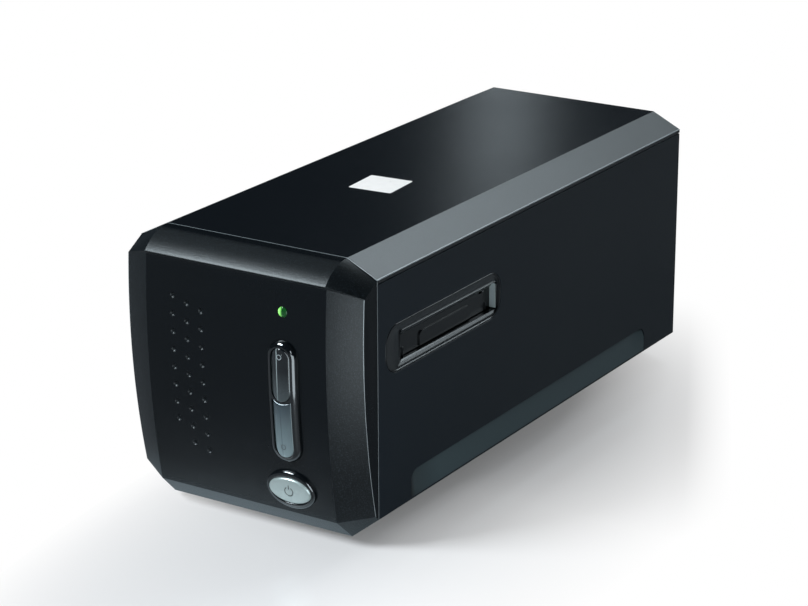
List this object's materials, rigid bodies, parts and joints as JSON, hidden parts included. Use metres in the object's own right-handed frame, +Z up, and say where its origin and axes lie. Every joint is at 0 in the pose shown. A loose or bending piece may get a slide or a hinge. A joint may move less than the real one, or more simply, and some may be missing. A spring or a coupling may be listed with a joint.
{
  "type": "film negative scanner",
  "caption": "Desktop film scanner: bevelled black box with a curved front, push buttons, and a film slot with sprung dust flaps through both sides",
  "frame": {"origin": "middle of the footprint, on the surface the feet stand on", "axes": "+X is the side that the buttons are nearer to, -Y is the front with the buttons, +Z is up"},
  "size_m": [0.113, 0.2748, 0.1185],
  "materials": {
    "bezel_plastic": "fine-textured satin black",
    "case_plastic": "fine-textured satin black",
    "side_plastic": "fine-textured blue-black",
    "flap_plastic": "smooth black",
    "gloss_black": "gloss black",
    "smoke_button": "smoky gloss with a pale rim",
    "silver_button": "silver satin lacquer",
    "green_lens": "clear green, lit",
    "led_epoxy": "clear",
    "circuit_board": "green solder mask",
    "black_plastic": "moulded black",
    "white_plastic": "natural white nylon",
    "rubber": "matte",
    "steel": "bright steel",
    "sheet_steel": "galvanised sheet",
    "bronze": "sintered bronze",
    "mirror": "front-silvered glass",
    "glass": "coated lens glass"
  },
  "bodies": {
    "casing": {"front_bezel": "bezel_plastic", "top_cover": "case_plastic", "right_side_panel": "side_plastic", "left_side_panel": "side_plastic", "base_tray": "case_plastic", "rear_panel": "case_plastic", "right_slot_frame": "gloss_black", "left_slot_frame": "gloss_black", "right_flap_pin": "steel", "left_flap_pin": "steel", "right_flap_spring": "steel", "left_flap_spring": "steel", "scan_button_pod": "gloss_black", "power_button_ring": "gloss_black", "status_light_lens": "green_lens", "status_led": "led_epoxy", "button_board": "circuit_board", "button_switches": "black_plastic", "rubber_feet": "rubber", "chassis_frame": "sheet_steel", "film_guide": "black_plastic", "guide_rod": "steel", "slide_rail": "sheet_steel", "stepper_motor": "sheet_steel", "motor_bracket": "sheet_steel", "gear_axle": "steel", "idler_axle": "steel", "drive_belt": "rubber", "home_sensor": "black_plastic", "main_board": "circuit_board", "board_parts": "black_plastic", "usb_socket": "steel", "power_socket": "black_plastic", "casing_screws": "steel", "rear_screws": "steel", "board_screws": "steel"},
    "power_key": {"power_button": "silver_button"},
    "upper_key": {"upper_scan_button": "smoke_button"},
    "lower_key": {"lower_scan_button": "silver_button"},
    "right_flap": {"right_dust_flap": "flap_plastic"},
    "left_flap": {"left_dust_flap": "flap_plastic"},
    "carriage": {"scan_carriage": "black_plastic", "rod_bushings": "bronze", "glide_shoe": "white_plastic", "lamp_housing": "white_plastic", "lamp_board": "circuit_board", "light_diffuser": "white_plastic", "fold_mirror": "mirror", "lens_barrel": "black_plastic", "lens_glass": "glass", "sensor_board": "circuit_board", "image_sensor": "black_plastic", "belt_clamp": "black_plastic"},
    "gear": {"drive_gear": "white_plastic"},
    "pinion": {"motor_pinion": "bronze", "motor_shaft": "steel"},
    "idler": {"idler_pulley": "white_plastic"}
  },
  "joints": [
    {"name": "power_button_press", "type": "slide", "parent": "casing", "child": "power_key", "axis": [0, 0.9887, 0.1499], "range_m": [0, 0.0012], "stiffness_N_per_m": 400, "springref_m": -0.001},
    {"name": "upper_scan_button_press", "type": "slide", "parent": "casing", "child": "upper_key", "axis": [0, 1, 0], "range_m": [0, 0.0012], "stiffness_N_per_m": 400, "springref_m": -0.001},
    {"name": "lower_scan_button_press", "type": "slide", "parent": "casing", "child": "lower_key", "axis": [0, 1, 0], "range_m": [0, 0.0012], "stiffness_N_per_m": 400, "springref_m": -0.001},
    {"name": "right_flap_hinge", "type": "hinge", "parent": "casing", "child": "right_flap", "pos_m": [0.0519, -0.0641, 0.0839], "axis": [0, 1, 0], "range_deg": [0, 80], "stiffness_Nm_per_rad": 0.004, "springref_deg": -34.38, "deforming": ["right_flap_spring"]},
    {"name": "left_flap_hinge", "type": "hinge", "parent": "casing", "child": "left_flap", "pos_m": [-0.0519, -0.0641, 0.0839], "axis": [0, 1, 0], "range_deg": [0, 80], "stiffness_Nm_per_rad": 0.004, "springref_deg": -34.38, "deforming": ["left_flap_spring"]},
    {"name": "carriage_travel", "type": "slide", "parent": "casing", "child": "carriage", "axis": [0, -1, 0], "range_m": [0, 0.038]},
    {"name": "drive_gear_spin", "type": "hinge", "parent": "casing", "child": "gear", "pos_m": [0, 0.086, 0.011], "axis": [0, 0, 1], "range_deg": [-320, 320]},
    {"name": "motor_pinion_spin", "type": "hinge", "parent": "casing", "child": "pinion", "pos_m": [0.0288, 0.086, 0.011], "axis": [0, 0, 1], "range_deg": [-1300, 1300]},
    {"name": "idler_pulley_spin", "type": "hinge", "parent": "casing", "child": "idler", "pos_m": [0, -0.093, 0.017], "axis": [0, 0, 1], "range_deg": [-320, 320]}
  ],
  "couplings": [
    {"joint": "drive_gear_spin", "follows": "carriage_travel", "rad_per_m": 142.86},
    {"joint": "idler_pulley_spin", "follows": "carriage_travel", "rad_per_m": 142.86},
    {"joint": "motor_pinion_spin", "follows": "carriage_travel", "rad_per_m": -591.84}
  ]
}
